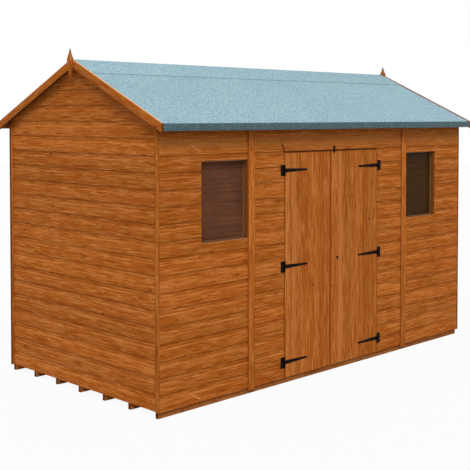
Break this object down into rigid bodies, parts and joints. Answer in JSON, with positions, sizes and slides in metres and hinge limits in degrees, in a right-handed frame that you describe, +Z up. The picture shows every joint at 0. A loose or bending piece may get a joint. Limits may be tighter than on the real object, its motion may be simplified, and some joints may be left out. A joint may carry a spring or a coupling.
{
  "type": "wooden garden shed",
  "caption": "Hollow wooden garden shed with an apex felt roof, shiplap walls, a boarded pair of doors that swing outward, a turn button and small fixed windows.",
  "frame": {"origin": "middle of the whole footprint, on the ground under the floor joists", "axes": "+Z up, +X along the length and the ridge, the doors face -Y"},
  "size_m": [3.78, 2.017, 2.5275],
  "materials": {
    "stained_wood": "oil stained softwood boards",
    "sawn_wood": "sawn softwood in the same stain",
    "treated_wood": "dark preserved softwood",
    "roofing_felt": "mineral roofing felt",
    "window_glass": "clear horticultural glazing",
    "black_iron": "black enamel"
  },
  "bodies": {
    "shell": {"floor_joists": "treated_wood", "floor_deck": "sawn_wood", "left_gable_wall": "stained_wood", "right_gable_wall": "stained_wood", "back_left_wall": "stained_wood", "back_right_wall": "stained_wood", "front_left_wall": "stained_wood", "front_right_wall": "stained_wood", "door_left_wall": "stained_wood", "door_right_wall": "stained_wood", "door_header_wall": "stained_wood", "left_gable_frame": "sawn_wood", "right_gable_frame": "sawn_wood", "back_frames": "sawn_wood", "front_left_frame": "sawn_wood", "front_right_frame": "sawn_wood", "door_frame": "sawn_wood", "door_stops": "sawn_wood", "corner_strips": "stained_wood", "joint_strips": "stained_wood", "roof_rails": "sawn_wood", "roof_trusses": "sawn_wood", "front_roof_boards": "sawn_wood", "back_roof_boards": "sawn_wood", "front_felt": "roofing_felt", "back_felt": "roofing_felt", "ridge_felt": "roofing_felt", "left_bargeboards": "stained_wood", "right_bargeboards": "stained_wood", "left_finial": "stained_wood", "right_finial": "stained_wood", "left_window_pane": "window_glass", "right_window_pane": "window_glass", "left_window_beads": "sawn_wood", "right_window_beads": "sawn_wood", "hinge_plates": "black_iron"},
    "left_leaf": {"left_door": "stained_wood", "left_door_ledges": "sawn_wood", "left_hinge_straps": "black_iron"},
    "right_leaf": {"right_door": "stained_wood", "right_door_ledges": "sawn_wood", "right_hinge_straps": "black_iron", "lock_escutcheon": "black_iron", "lock_case": "black_iron"},
    "button": {"turn_button": "black_iron"}
  },
  "joints": [
    {"name": "left_door_swing", "type": "hinge", "parent": "shell", "child": "left_leaf", "pos_m": [-0.58, -0.9205, 0.9], "axis": [0, 0, -1], "range_deg": [0, 160]},
    {"name": "right_door_swing", "type": "hinge", "parent": "shell", "child": "right_leaf", "pos_m": [0.58, -0.9205, 0.9], "axis": [0, 0, 1], "range_deg": [0, 160]},
    {"name": "turn_button_turn", "type": "hinge", "parent": "right_leaf", "child": "button", "pos_m": [0.0025, -0.92, 1.753], "axis": [0, 1, 0], "range_deg": [0, 90]}
  ]
}
